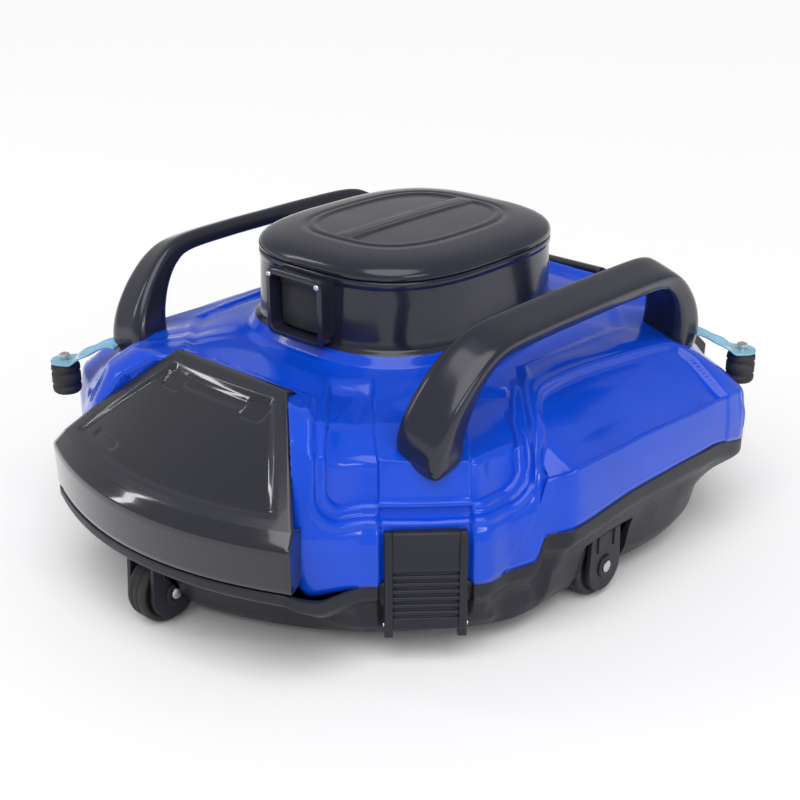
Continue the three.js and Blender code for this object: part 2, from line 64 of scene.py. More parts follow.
class Nodes:
    """A small builder for one material's node tree."""

    def __init__(self, name):
        self.material = bpy.data.materials.new(name)
        self.material.use_nodes = True
        self.tree = self.material.node_tree
        self.shader = self.tree.nodes["Principled BSDF"]
        self.where = self.add("TexCoord").outputs["Object"]

    def add(self, kind, **values):
        node = self.tree.nodes.new("ShaderNode" + kind)
        set_inputs(node, **values)
        return node

    def link(self, output, node, socket):
        self.tree.links.new(output, node.inputs[socket])

    def noise(self, scale, detail=4.0, rough=0.5, stretch=None):
        node = self.add("TexNoise", Scale=scale, Detail=detail, Roughness=rough)
        source = self.where
        if stretch:
            mapping = self.add("Mapping", Scale=stretch)
            self.link(source, mapping, "Vector")
            source = mapping.outputs["Vector"]
        self.link(source, node, "Vector")
        return node.outputs["Fac"]

    def ramp(self, value, stops):
        node = self.add("ValToRGB")
        ramp = node.color_ramp
        while len(ramp.elements) < len(stops):
            ramp.elements.new(0.5)
        for element, (place, colour) in zip(ramp.elements, stops):
            element.position = place
            element.color = colour
        self.link(value, node, "Fac")
        return node.outputs["Color"]

    def spread(self, value, low, high):
        node = self.add("MapRange", From_Min=0.3, From_Max=0.7, To_Min=low, To_Max=high)
        self.link(value, node, "Value")
        return node.outputs["Result"]

    def bump(self, height, strength, distance):
        node = self.add("Bump", Strength=strength, Distance=distance)
        self.link(height, node, "Height")
        self.into(node.outputs["Normal"], "Normal")

    def into(self, output, socket):
        self.link(output, self.shader, socket)


def rgba(colour, gain=1.0):
    return (colour[0] * gain, colour[1] * gain, colour[2] * gain, 1.0)


def plastic(name, colour, rough=(0.2, 0.3), grain=0.0, coat=0.0, shade=0.12, grain_scale=900.0,
            coat_rough=0.05, shine=0.4):
    """Moulded plastic: faint flow marks in its colour, handling haze in its gloss, moulded grain."""
    nodes = Nodes(name)
    tones = [(0.3, rgba(colour, 1 - shade)), (0.7, rgba(colour, 1 + shade))]
    nodes.into(nodes.ramp(nodes.noise(14.0, 5.0, 0.55), tones), "Base Color")
    nodes.into(nodes.spread(nodes.noise(38.0, 6.0, 0.65), *rough), "Roughness")
    if grain:
        nodes.bump(nodes.noise(grain_scale, 3.0, 0.6), grain, 0.0004)
    else:
        nodes.bump(nodes.noise(22.0, 2.0, 0.4), 0.05, 0.0004)
    if coat:
        set_inputs(nodes.shader, Coat_Weight=coat, Coat_Roughness=coat_rough)
    set_inputs(nodes.shader, Specular_IOR_Level=shine)
    return nodes.material


def worn_rubber(name, colour):
    nodes = Nodes(name)
    dust = nodes.noise(60.0, 6.0, 0.7)
    stops = [(0.35, rgba(colour)), (0.62, rgba(colour, 1.7)), (0.8, (0.09, 0.085, 0.08, 1.0))]
    nodes.into(nodes.ramp(dust, stops), "Base Color")
    nodes.into(nodes.spread(nodes.noise(120.0), 0.5, 0.78), "Roughness")
    nodes.bump(nodes.noise(1400.0, 4.0, 0.7), 0.35, 0.0004)
    return nodes.material


def turned_steel(name):
    nodes = Nodes(name)
    lines = nodes.noise(260.0, 4.0, 0.6, (1.0, 1.0, 9.0))
    nodes.into(nodes.ramp(lines, [(0.3, (0.45, 0.46, 0.48, 1)), (0.7, (0.72, 0.73, 0.75, 1))]), "Base Color")
    nodes.into(nodes.spread(lines, 0.18, 0.4), "Roughness")
    set_inputs(nodes.shader, Metallic=1.0)
    nodes.bump(lines, 0.15, 0.0002)
    return nodes.material


def clear_film(name, colour):
    nodes = Nodes(name)
    cloud = nodes.noise(45.0, 5.0, 0.6)
    nodes.into(nodes.ramp(cloud, [(0.3, rgba(colour, 0.85)), (0.75, rgba(colour, 1.15))]), "Base Color")
    nodes.into(nodes.spread(cloud, 0.08, 0.25), "Roughness")
    set_inputs(nodes.shader, Transmission_Weight=0.35, IOR=1.45, Coat_Weight=0.4)
    nodes.bump(nodes.noise(30.0, 3.0), 0.2, 0.001)
    return nodes.material


def woven(name, colour):
    nodes = Nodes(name)
    wave = nodes.add("TexChecker", Scale=900.0, Color1=rgba(colour), Color2=rgba(colour, 0.35))
    nodes.link(nodes.where, wave, "Vector")
    nodes.into(wave.outputs["Color"], "Base Color")
    nodes.into(nodes.spread(nodes.noise(50.0), 0.5, 0.75), "Roughness")
    nodes.bump(wave.outputs["Fac"], 0.4, 0.0004)
    return nodes.material


BLUE = plastic("glossy_blue", (0.003, 0.062, 0.60), (0.14, 0.24), coat=0.3, shade=0.08, shine=0.25)
BLACK = plastic("satin_black", (0.016, 0.017, 0.025), (0.34, 0.48), grain=0.12, shine=0.3)
GRAPHITE = plastic("glossy_graphite", (0.014, 0.015, 0.028), (0.16, 0.26), coat=0.3, coat_rough=0.08,
                   shine=0.35)
SMOKE = plastic("smoked_cover", (0.010, 0.011, 0.018), (0.08, 0.16), coat=0.7, shade=0.2, coat_rough=0.04)
TRIM = plastic("cover_trim", (0.020, 0.021, 0.030), (0.2, 0.32), coat=0.3)
RUBBER = worn_rubber("worn_rubber", (0.014, 0.014, 0.016))
STEEL = turned_steel("turned_steel")
SKY = clear_film("sky_film", (0.30, 0.66, 0.86))
WHITE = plastic("tray_white", (0.62, 0.64, 0.66), (0.35, 0.5), grain=0.1)
WRAP = plastic("cell_wrap", (0.08, 0.36, 0.62), (0.2, 0.35), coat=0.4)
BOARD = plastic("board_green", (0.012, 0.10, 0.035), (0.3, 0.5), grain=0.3, grain_scale=500.0)
MESH = woven("filter_weave", (0.70, 0.72, 0.74))


# --- mesh tools
def turned(shape):
    """A shape after half a turn about Z."""
    points, faces = shape
    return points * np.array([-1.0, -1.0, 1.0]), faces


def new_object(name, shape):
    """An object from a shape, (points in millimetres, faces), with all its faces turned outward."""
    points, faces = shape
    mesh = bpy.data.meshes.new(name)
    mesh.from_pydata((np.asarray(points) * MM).tolist(), [], faces)
    work = bmesh.new()
    work.from_mesh(mesh)
    bmesh.ops.recalc_face_normals(work, faces=work.faces)
    work.to_mesh(mesh)
    work.free()
    obj = bpy.data.objects.new(name, mesh)
    bpy.context.scene.collection.objects.link(obj)
    return obj


def piece(name, shape, material, body, *nodes, smooth=True):
    """A new object from a shape. It rides on body and stands for the CAD nodes named."""
    obj = new_object(name, shape)
    mesh = obj.data
    mesh.materials.append(material)
    for polygon in mesh.polygons:
        polygon.use_smooth = smooth
    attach(obj, body)
    if nodes:
        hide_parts(*nodes)
    return obj


def grid_faces(rows, columns, closed=True, start=0):
    """Quads between successive rows of points. Each row closes on itself unless told otherwise."""
    faces = []
    last = columns if closed else columns - 1
    for k in range(rows - 1):
        for i in range(last):
            j = (i + 1) % columns
            a = start + k * columns
            faces.append((a + i, a + j, a + columns + j, a + columns + i))
    return faces


def skin(loops, ring=False):
    """The shape over a list of closed loops of equal length. A ring's last loop meets its first."""
    points = np.concatenate([np.asarray(loop, float) for loop in loops])
    count = len(loops[0])
    faces = grid_faces(len(loops) + ring, count)
    if ring:
        return points, [tuple(v % len(points) for v in face) for face in faces]
    faces.append(tuple(reversed(range(count))))
    faces.append(tuple(range(len(points) - count, len(points))))
    return points, faces


def soften(obj, width):
    """Rounds the sharp edges of a piece."""
    modifier = obj.modifiers.new("round", "BEVEL")
    modifier.width = width * MM
    modifier.segments = 2
    modifier.limit_method = "ANGLE"
    modifier.angle_limit = math.radians(35.0)
    modifier.harden_normals = False
    crisp_shade(obj)


def crisp_shade(obj, angle=38.0):
    """Smooth shading that keeps edges steeper than the angle crisp."""
    mesh = obj.data
    mesh.polygons.foreach_set("use_smooth", [True] * len(mesh.polygons))
    mesh.set_sharp_from_angle(angle=math.radians(angle))


def join_parts(parts):
    """One shape of several."""
    faces = []
    count = 0
    for part_points, part_faces in parts:
        faces += [tuple(v + count for v in face) for face in part_faces]
        count += len(part_points)
    return np.concatenate([points for points, _ in parts]), faces


def block(x0, x1, y0, y1, z0, z1):
    points = [(x, y, z) for x in (x0, x1) for y in (y0, y1) for z in (z0, z1)]
    faces = [(0, 1, 3, 2), (4, 6, 7, 5), (0, 4, 5, 1), (2, 3, 7, 6), (0, 2, 6, 4), (1, 5, 7, 3)]
    return np.array(points, float), faces


def extrude(outline, low, high, axis):
    """A slab of a flat outline between two planes across an axis: 0 for X, 1 for Y."""
    outline = np.asarray(outline, float)
    return skin([np.insert(outline, axis, at, axis=1) for at in (low, high)])


def lay(shape, shift):
    """A turned shape laid on its side, so that its axis runs along X, and then shifted."""
    points, faces = shape
    return points[:, [2, 0, 1]] + np.array(shift), faces


def span(sign, near, far):
    """The two ends of a stretch on one side of the middle, lower end first."""
    return sorted((sign * near, sign * far))


def smooth_step(value, low, high):
    t = np.clip((value - low) / (high - low), 0.0, 1.0)
    return t * t * (3 - 2 * t)


def rounded_box(px, py, cx, cy, hx, hy, radius):
    """Signed distance to a rounded rectangle, negative inside."""
    qx = np.abs(px - cx) - hx + radius
    qy = np.abs(py - cy) - hy + radius
    outside = np.hypot(np.maximum(qx, 0), np.maximum(qy, 0))
    return outside + np.minimum(np.maximum(qx, qy), 0) - radius


def inside(distance, soft):
    """1 well inside a signed distance, 0 well outside, with a soft edge of that width."""
    return 1.0 - smooth_step(distance, -soft / 2, soft / 2)


def ridge(distance, centre, width):
    return np.exp(-(((distance - centre) / width) ** 2))


# --- plan outlines
def corner_point(out, side):
    return ((out + side) * DIAGONAL, (side - out) * DIAGONAL)


def with_half_turn(half):
    return np.array(list(half) + [(-x, -y) for x, y in half])


def nose_rim(t):
    """The front cover's rim in plan, where t runs from -1 to 1 across it."""
    tip_x, tip_y = NOSE_TIP
    return tip_x * t, -(tip_y + (NOSE_REACH - tip_y) * (1 - t * t))


LOBE_AND_SIDE = [
    corner_point(184.5, -34), corner_point(186, -20), corner_point(186, 20), corner_point(184.5, 34),
    (154, -92), (160.5, -74), (164, -64), (HALF_WIDTH - 0.5, -60), (HALF_WIDTH, -50), (HALF_WIDTH, 118),
    (172, 127), (161, 135), (142, 145),
]
SHELL_OUTLINE = with_half_turn([(-92, -184), (92, -184)] + LOBE_AND_SIDE + [(110, 173)])
RIM_OUTLINE = with_half_turn([nose_rim(t) for t in np.linspace(-1, 1, 25)] + LOBE_AND_SIDE + [(110, 177)])


def polygon_radius(outline, angles):
    """Distance from the centre to the outline in each direction."""
    edge = np.roll(outline, -1, axis=0) - outline
    dx, dy = np.cos(angles)[:, None], np.sin(angles)[:, None]
    area = dx * edge[:, 1] - dy * edge[:, 0]
    area = np.where(np.abs(area) < 1e-9, 1e-9, area)
    reach = (outline[:, 0] * edge[:, 1] - outline[:, 1] * edge[:, 0]) / area
    along = (outline[:, 0] * dy - outline[:, 1] * dx) / area
    valid = (reach > 0) & (along > -1e-6) & (along < 1 + 1e-6)
    return np.where(valid, reach, 0).max(axis=1)


def blur(values, width, axis=0, wrap=True):
    """Gaussian smoothing over whole samples."""
    reach = int(math.ceil(3 * width))
    weights = np.exp(-0.5 * (np.arange(-reach, reach + 1) / width) ** 2)
    weights /= weights.sum()
    mode = "wrap" if wrap else "edge"
    pads = [(0, 0)] * values.ndim
    pads[axis] = (reach, reach)
    padded = np.pad(values, pads, mode=mode)
    return np.apply_along_axis(lambda line: np.convolve(line, weights, "valid"), axis, padded)


def circle(count):
    """Directions evenly spaced round a full turn."""
    return np.linspace(0, 2 * math.pi, count, endpoint=False)


def oval_radius(x, y, angles, power=DOME_POWER):
    return ((np.abs(np.cos(angles)) / x) ** power + (np.abs(np.sin(angles)) / y) ** power) ** (-1 / power)


def table_at(table, angles):
    """Values of a table keyed by direction in degrees, which repeats every half turn."""
    keys = sorted(table)
    rows = np.array([table[k] for k in keys], float)
    folded = (np.degrees(angles) - keys[0]) % 180 + keys[0]
    keys = np.array(keys + [keys[0] + 180], float)
    rows = np.concatenate([rows, rows[:1]])
    index = np.clip(np.searchsorted(keys, folded, side="right") - 1, 0, len(keys) - 2)
    t = (folded - keys[index]) / (keys[index + 1] - keys[index])
    t = (t * t * (3 - 2 * t)).reshape([-1] + [1] * (rows.ndim - 1))
    return rows[index] * (1 - t) + rows[index + 1] * t


AROUND = 960
ANGLES = np.linspace(-math.pi, math.pi, AROUND, endpoint=False)
STEP_MM = 2 * math.pi * 180 / AROUND


def polar(radius, height, angles=ANGLES):
    """Points from radii and heights, one for each direction."""
    radius, height = np.broadcast_arrays(radius, height)
    return np.stack([radius * np.cos(angles), radius * np.sin(angles), height], axis=-1)


def dense_profile(radii, heights, counts, soft):
    """Splits each stretch between knots, rounds the corners, and also returns the knot number."""
    number = [k + i / count for k, count in enumerate(counts) for i in range(count)]
    number = np.array(number + [len(counts)])
    start = np.minimum(number.astype(int), len(counts) - 1)
    t = (number - start)[:, None]
    rounded = []
    for knots in (np.array(radii), np.array(heights)):
        rows = knots[start] * (1 - t) + knots[start + 1] * t
        rounded.append(blur(rows, soft, 0, False))
        rounded[-1][[0, -1]] = rows[[0, -1]]
    return (*rounded, number)


def surface_normals(points):
    around = np.roll(points, -1, axis=1) - np.roll(points, 1, axis=1)
    up = np.gradient(points, axis=0)
    normal = np.cross(around, up)
    length = np.linalg.norm(normal, axis=-1, keepdims=True)
    return normal / np.maximum(length, 1e-9)


# --- upper shell
# Knots of the shell's profile in each direction: shares of the outline's radius, then heights.
SHELL_TABLE = {
    -90: ((1, 1, 0.98, 0.93, 0.88, 0.8), (59, 80, 98, 112, 126, 138)),
    -67: ((1, 1, 0.995, 0.968, 0.915, 0.84), (59, 72, 88, 106, 126, 137)),
    -62: ((1, 1, 0.99, 0.962, 0.92, 0.825), (48, 70, 80, 94, 122, 134)),
    -58: ((1, 1, 0.99, 0.962, 0.925, 0.81), (48, 71, 78, 88, 117, 130)),
    -45: ((1, 1, 0.99, 0.962, 0.93, 0.78), (48, 72, 77.5, 87, 116, 126.5)),
    -31: ((1, 1, 0.99, 0.962, 0.925, 0.76), (48, 72, 78, 88, 115, 126)),
    -25: ((1, 1, 0.99, 0.96, 0.91, 0.75), (49, 72, 80, 92, 114, 126.5)),
    -22.5: ((1, 1, 0.988, 0.935, 0.85, 0.72), (64, 84, 98, 106, 117, 128)),
    -17: ((1, 0.998, 0.99, 0.9, 0.78, 0.67), (68, 88, 104, 110, 120, 131)),
    0: ((1, 0.998, 0.99, 0.88, 0.76, 0.65), (70.5, 88, 102.5, 109, 119.5, 131.5)),
    25: ((1, 0.998, 0.99, 0.9, 0.8, 0.69), (68.5, 84, 98.5, 106, 116, 128)),
    38: ((1, 1, 0.985, 0.93, 0.86, 0.75), (60, 77, 92.5, 103, 113, 124)),
    52: ((1, 1, 0.985, 0.94, 0.87, 0.77), (55, 72, 90, 103, 117, 129)),
    61: ((1, 1, 0.99, 0.955, 0.905, 0.825), (55, 72, 88, 106, 125, 135)),
    67: ((1, 1, 0.99, 0.968, 0.915, 0.84), (59, 72, 88, 106, 126, 137)),
}
SHELL_COUNTS = [7, 9, 14, 18, 16, 22, 5, 8, 5]


def shell_profile():
    outline = blur(polygon_radius(SHELL_OUTLINE, ANGLES), 3.2 / STEP_MM)
    table = table_at(SHELL_TABLE, ANGLES)
    radii = [outline * table[:, 0, k] for k in range(6)]
    heights = [table[:, 1, k] for k in range(6)]
    for grow, height in ((12, 134.5), (7, 136.2), (3.6, 142.4), (0.8, 143)):
        radii.append(oval_radius(DOME_X + grow, DOME_Y + grow, ANGLES))
        heights.append(np.full_like(ANGLES, height))
    return dense_profile(radii, heights, SHELL_COUNTS, 1.0)


def corner_coordinates(points):
    """out and side of each point, measured at whichever latch corner it is nearer."""
    x, y = points[..., 0], points[..., 1]
    sign = np.where(x - y > 0, 1.0, -1.0)
    return sign * (x - y) * DIAGONAL, sign * (x + y) * DIAGONAL


# The sunk deck round the dome, in plan, and the basins above the latches, in (side, distance up the wall):
# middle, half sizes and corner radius.
DECK = (0, 0, 103, 134, 16)
DECK_CHAMFER = 184
BASIN = (1, 89, 58, 80, 13)
BASIN_FLOOR = (1, 92, 50, 76, 9)
PANEL_FRONT, PANEL_BACK, PANEL_TOP = -72, 101, 54
RIB_PLACES = (117.0, 122.0)


def deck_relief(x, y, out, side, arc, number):
    """The sunk deck with a raised lip, in one with the basins."""
    chamfer = (np.abs(x) + np.abs(y) - DECK_CHAMFER) * DIAGONAL
    deck = np.maximum(rounded_box(x, y, *DECK), chamfer)
    basin = np.where(out > 60, rounded_box(side, arc, *BASIN), 99.0)
    sunk = np.minimum(deck, basin)
    on_top = smooth_step(number, 2.0, 2.35) * (1 - smooth_step(number, 5.2, 5.8))
    return (ridge(sunk, 3.2, 1.7) - 2.8 * inside(sunk, 2.4)) * on_top


def latch_relief(out, side, arc):
    """Each basin's floor, with a raised strip down its middle, and the channel that the latch closes into."""
    hollow = inside(rounded_box(side, arc, *BASIN_FLOOR), 3.6) * smooth_step(out, 104, 118)
    strip = 1 - 0.8 * inside(np.abs(side) - 25.5, 2.6)
    channel = np.maximum(np.abs(side) - LATCH_CHANNEL_HALF, arc - 13)
    return -(6.5 * hollow * strip + 5.0 * inside(channel, 1.6)) * inside(-(out - 70), 4)


def side_relief(x, y, arc, number):
    """The long panel sunk into each side, its lip, the facet under it and the ribs past its end."""
    along = y * np.where(x > 0, 1.0, -1.0)
    front = (PANEL_FRONT - along + arc * 0.77) * 0.79
    back = along - PANEL_BACK
    round_off = 5.0
    panel = round_off * np.log(sum(np.exp(edge / round_off) for edge in (front, back, arc - PANEL_TOP)))
    above = smooth_step(arc, -0.8, 0.8)
    lip = ridge(panel, 3.4, 1.8) * smooth_step(arc, 1, 8) * (1 - smooth_step(along, 55, 85))
    relief = (lip - 4.4 * inside(panel, 2.0 + 2.0 * smooth_step(arc, 25, 45))) * above
    relief -= 0.7 * inside(np.maximum(front, back), 2.4) * (1 - above)
    ribs = sum(ridge(along, place, 0.9) for place in RIB_PLACES) * (arc < 2) * (np.abs(x) > 120)
    beside = (np.abs(x) > 80) & (number < 6)
    return relief * beside + 0.7 * ribs * smooth_step(number, 0.2, 0.6)


def cover_relief(x, y):
    """Room for the nose covers, which lie over the shell."""
    cover_half = NOSE_TOP_HALF + (np.abs(y) - NOSE_TOP_Y) * 1.076
    under_cover = np.maximum((np.abs(x) - cover_half) * 0.68, NOSE_TOP_Y - 2 - np.abs(y))
    return -6.5 * inside(under_cover + 0.6, 2.0)


def shell_relief(points, number):
    """How far the surface stands out from its plain profile, or in where negative."""
    x, y = points[..., 0], points[..., 1]
    out, side = corner_coordinates(points)
    step = np.linalg.norm(np.diff(points, axis=0), axis=-1)
    arc = np.concatenate([np.zeros((1, points.shape[1])), np.cumsum(step, axis=0)])
    arc -= arc[np.argmin(np.abs(number - 2.0))].copy()
    number = number[:, None]
    relief = deck_relief(x, y, out, side, arc, number) + latch_relief(out, side, arc)
    relief += side_relief(x, y, arc, number) + cover_relief(x, y)
    return relief - 0.4 * ridge(number, 6.9, 0.14)


def shell_piece():
    radii, heights, number = shell_profile()
    outer = polar(radii, heights)
    normal = surface_normals(outer)
    if (normal[..., 0] * outer[..., 0]).mean() < 0:
        normal = -normal
    relief = shell_relief(outer, number)
    shaped = outer + normal * relief[..., None]
    shaped[-1] = outer[-1]
    shaped[..., 0] = np.clip(shaped[..., 0], -HALF_WIDTH + 0.05, HALF_WIDTH - 0.05)
    inner = outer - normal * (WALL + 3.4)
    inner = inner[::4]
    inner[0] = shaped[0] * np.array([0.984, 0.984, 1.0])
    collar = polar(oval_radius(DOME_X + 0.8, DOME_Y + 0.8, ANGLES), 136)
    piece("shell_blue", skin([*shaped, collar, *inner[::-1]], ring=True), BLUE, "upper", "upper_shell")


# --- base
# The pan in each direction: the crease's share of the rim's radius, then the heights of seven knots
# from the rim down: rim, foot of the band, its lip, the crease, and three down the tub's wall.
BASE_TABLE = {
    -90: (0.955, 57.6, 52, 49.5, 45, 37, 27, 14),
    -80: (0.955, 57.6, 52, 49.5, 45, 37, 27, 15),
    -72: (0.955, 57.6, 52, 49.5, 45, 38, 28, 16),
    -65: (0.95, 57.6, 52, 49.5, 45, 39, 29, 17),
    -60: (0.965, 47.6, 40, 37.5, 34, 28, 19, 12),
    -45: (0.97, 47.6, 39, 36.5, 33, 27, 19, 12),
    -25: (0.97, 48.6, 40, 37.5, 33, 27, 19, 12),
    -22.5: (0.96, 63.6, 54, 51, 44, 32, 20, 12),
    -17: (0.955, 67.6, 58, 55, 47, 34, 21, 12),
    0: (0.955, 70.1, 60, 57, 49, 36, 22, 12),
    14: (0.955, 69.5, 59, 56, 49, 36, 20, 12),
    27: (0.955, 67.6, 57, 54, 47, 34, 20, 12),
    37: (0.93, 60, 50, 47, 40, 31, 20, 12),
    52: (0.94, 54.6, 45, 42, 37, 29, 19, 12),
    61: (0.95, 55, 46, 43, 40, 33, 22, 12),
    66: (0.95, 57.6, 52, 49.5, 45, 39, 27, 15),
    78: (0.955, 57.6, 52, 49.5, 45, 38, 27, 14),
}
FLOOR = 10.0
BASE_COUNTS = [7, 3, 7, 9, 10, 9, 4]

# Distance from the centre to the tub's lower wall, by direction in degrees. It repeats every half turn.
LOWER_WALL = {
    -90: 199, -76: 191, -60: 185, -45: 179, -28: 179, -17: 166, 0: 158, 14: 169, 27: 182, 40: 189, 60: 188,
    75: 191,
}


def lower_wall():
    reach = np.interp(np.degrees(ANGLES), list(LOWER_WALL), list(LOWER_WALL.values()), period=180)
    return blur(reach, 9 / STEP_MM)


def base_profile():
    outline = blur(polygon_radius(RIM_OUTLINE, ANGLES), 2.4 / STEP_MM) - 0.6
    table = table_at(BASE_TABLE, ANGLES)
    crease = outline * table[:, 0]
    wall = lower_wall()
    radii = [outline, outline, outline * 0.985, crease]
    radii += [np.minimum(wall * share, crease - 1.5) for share in (1.0, 0.985, 0.955, 0.93)]
    heights = [table[:, k] for k in range(1, 8)] + [np.full_like(ANGLES, FLOOR)]
    heights[4:] = [blur(height, 10 / STEP_MM) for height in heights[4:]]
    return dense_profile(radii, heights, BASE_COUNTS, 1.1)


def pull_in_for_latches(outer, number):
    """Draws the wall back behind each latch."""
    out, side = corner_coordinates(outer)
    notch = inside(np.abs(side) - LATCH_CHANNEL_HALF, 2.0) * inside(-(out - 100), 4)
    limit = np.where(notch > 0, out - (LATCH_OUT - 0.6 - 4 * (1 - number[:, None] / 7)), 0)
    pull = np.maximum(limit, 0) * notch
    sign = np.where(outer[..., 0] - outer[..., 1] > 0, 1.0, -1.0)
    outer[..., 0] -= sign * pull * DIAGONAL
    outer[..., 1] += sign * pull * DIAGONAL


def base_piece():
    r, z, number = base_profile()
    outer = polar(r, z)
    pull_in_for_latches(outer, number)
    floor_top = FLOOR + WALL
    middle = np.full_like(ANGLES, 0.5)
    under = [polar(r[-1] * share, FLOOR) for share in (0.93, 0.86, 0.6, 0.3)] + [polar(middle, FLOOR)]
    inner = [polar(r[0] - WALL, z[0]), polar(r[12] - WALL - 1, z[12]), polar(r[-10] - WALL - 1, z[-10] + 3.5)]
    inner += [polar(r[-1] * share - WALL, floor_top) for share in (0.98, 0.6, 0.3)]
    inner.append(polar(middle, floor_top))
    return piece("pan_black", skin([*inner[::-1], *outer, *under]), BLACK, "base", "base_pan")


def cut(obj, shape):
    """Cuts a closed shape out of a piece, for good."""
    cutter = new_object("cutter", shape)
    modifier = obj.modifiers.new("cut", "BOOLEAN")
    modifier.object = cutter
    modifier.operation = "DIFFERENCE"
    modifier.solver = "MANIFOLD"
    graph = bpy.context.evaluated_depsgraph_get()
    result = bpy.data.meshes.new_from_object(obj.evaluated_get(graph))
    used = (obj.data, cutter.data)
    obj.modifiers.clear()
    obj.data = result
    bpy.data.objects.remove(cutter)
    for mesh in used:
        bpy.data.meshes.remove(mesh)


# Wheel: centre in plan, and the box its well takes from the pan.
FRONT_WHEEL = (-12.0, -194.0)
SIDE_WHEEL = (150.0, -8.0)
WHEEL_R = 20.0
WELL_X, WELL_Y, WELL_TOP = 13.8, 23.5, 43.0


def well_boxes():
    x, y = FRONT_WHEEL
    front = (x - WELL_X, x + WELL_X, y - WELL_Y - 20, y + WELL_Y)
    x, y = SIDE_WHEEL
    side = (x - WELL_X, x + WELL_X + 25, y - WELL_Y, y + WELL_Y)
    for x0, x1, y0, y1 in (front, side):
        yield x0, x1, y0, y1
        yield -x1, -x0, -y1, -y0


def well_lining(low, high, reach, foot):
    """Walls and roof of a well in a frame whose +X points out of the body: `low` is the inner wall."""
    thick = 1.2
    roof = (low - thick, reach, -high - thick, high + thick, WELL_TOP - 0.05, WELL_TOP + thick)
    parts = [block(*roof), block(low - thick, low, -high - thick, high + thick, 12.0, WELL_TOP)]
    cheek = [(low - thick, foot[0][1]), *foot, (reach, WELL_TOP), (low - thick, WELL_TOP)]
    parts += [extrude(cheek, *span(side, high, high + thick), 1) for side in (-1, 1)]
    return join_parts(parts)


def wells(pan):
    for x0, x1, y0, y1 in well_boxes():
        cut(pan, block(x0, x1, y0, y1, -20, WELL_TOP))
    x, y = SIDE_WHEEL
    points, faces = well_lining(x - WELL_X, WELL_Y, 163, [(140, 14), (148, 26), (157, 41)])
    side = (points + np.array([0, y, 0]), faces)
    x, y = FRONT_WHEEL
    points, faces = well_lining(-y - WELL_Y, WELL_X, 206, [(174, 16), (186, 30), (200, 40)])
    front = (points[:, [1, 0, 2]] * np.array([1, -1, 1]) + np.array([x, 0, 0]), faces)
    for name, opposite, shape in (("right", "left", side), ("front", "rear", front)):
        piece(f"well_lining_{name}", shape, BLACK, "base", smooth=False)
        piece(f"well_lining_{opposite}", turned(shape), BLACK, "base", smooth=False)


# --- nose covers
NOSE_COLUMNS = 81
NOSE_TOP_HALF = 46.0
NOSE_TOP_Y = 147.0
FIRST_SLOPE_ROW = 13
SLOPE_ROWS = 56
SLOPE_LENGTH = 88.0
WINDOW_FRAME = 7.5


def nose_surface():
    """A grid over the cover: rows from the rim up over the bevel to the top edge."""
    t = np.linspace(-1, 1, NOSE_COLUMNS)
    rim_x, rim_y = nose_rim(t)
    top_x = NOSE_TOP_HALF * t

    def level(x, y, z):
        return np.stack(np.broadcast_arrays(x, y, z), axis=-1)

    def rim(z, back):
        # the upright band, leaning back a little towards its foot
        return level(rim_x * (1 - back * 0.004), rim_y + back, z)

    bevel_top = level(rim_x * 0.965, rim_y + 6.5, BAND_TOP + 7.0)
    summit = level(top_x, -NOSE_TOP_Y, 139.5)
    rows = [rim(SKIRT_TOP + 0.5, 4.0), rim(SKIRT_TOP + 0.4, 1.6), rim(SKIRT_TOP + 1.4, 0.7)]
    for share in np.linspace(0, 1, 7):
        rows.append(rim(SKIRT_TOP + 4 + share * (BAND_TOP - SKIRT_TOP - 5), 0.7 * (1 - share)))
    band_edge = rim(BAND_TOP + 0.6, 0.9)
    rows.append(band_edge)
    rows += [band_edge * (1 - share) + bevel_top * share for share in (0.35, 0.75)]
    for share in np.linspace(0, 1, SLOPE_ROWS):
        crown = np.array([0, 0, 1.6 * 4 * share * (1 - share)])
        rows.append(bevel_top * (1 - share) + summit * share + crown)
    rows += [level(top_x, 3.5 - NOSE_TOP_Y, 139.8), level(top_x, 7.5 - NOSE_TOP_Y, 137.0)]
    return with_end_walls(np.array(rows))


def with_end_walls(grid):
    """Adds a return at each end of the cover, which closes it against the shell behind."""
    down_slope = smooth_step(np.arange(len(grid)), 9, 18)[:, None]
    inward = np.array([-9.0, 17.0, 0.0]) * (1 - down_slope) + np.array([-2.0, 3.0, -7.0]) * down_slope
    mirrored = inward * np.array([-1.0, 1.0, 1.0])
    left = [grid[:, 0] + mirrored * share for share in (1.0, 0.5, 0.06)]
    right = [grid[:, -1] + inward * share for share in (0.06, 0.5, 1.0)]
    return np.concatenate([np.stack(left, axis=1), grid, np.stack(right, axis=1)], axis=1)


def nose_relief(grid):
    """How far the cover sinks in, at its tinted window and its slots, and where the window is."""
    share = (np.arange(len(grid))[:, None] - FIRST_SLOPE_ROW) / (SLOPE_ROWS - 1)
    up = np.clip(share, -0.5, 1.2) * SLOPE_LENGTH
    on_slope = share > 0
    x = grid[..., 0]
    to_side = (np.abs(x).max(axis=1, keepdims=True) - np.abs(x)) * 0.8
    edge = np.minimum(np.minimum(to_side, up + 0.5), SLOPE_LENGTH - up)
    window = smooth_step(edge, WINDOW_FRAME, WINDOW_FRAME + 2.2) * on_slope
    # (depth, middle across, middle up, half width, half height, corner radius, edge softness)
    slots = [
        (2.2, 33, 70, 7.5, 6.0, 1.5, 1.4), (2.2, -33, 70, 7.5, 6.0, 1.5, 1.4),
        (1.0, 0, 72, 25, 3.4, 1.5, 1.4), (1.2, -52, 16, 12, 2.2, 1.0, 1.2),
    ]
    sink = -1.6 * window
    for depth, across, height, half_width, half_height, radius, soft in slots:
        slot = rounded_box(x, up, across, height, half_width, half_height, radius)
        sink = sink - depth * inside(slot, soft) * on_slope
    return sink, window


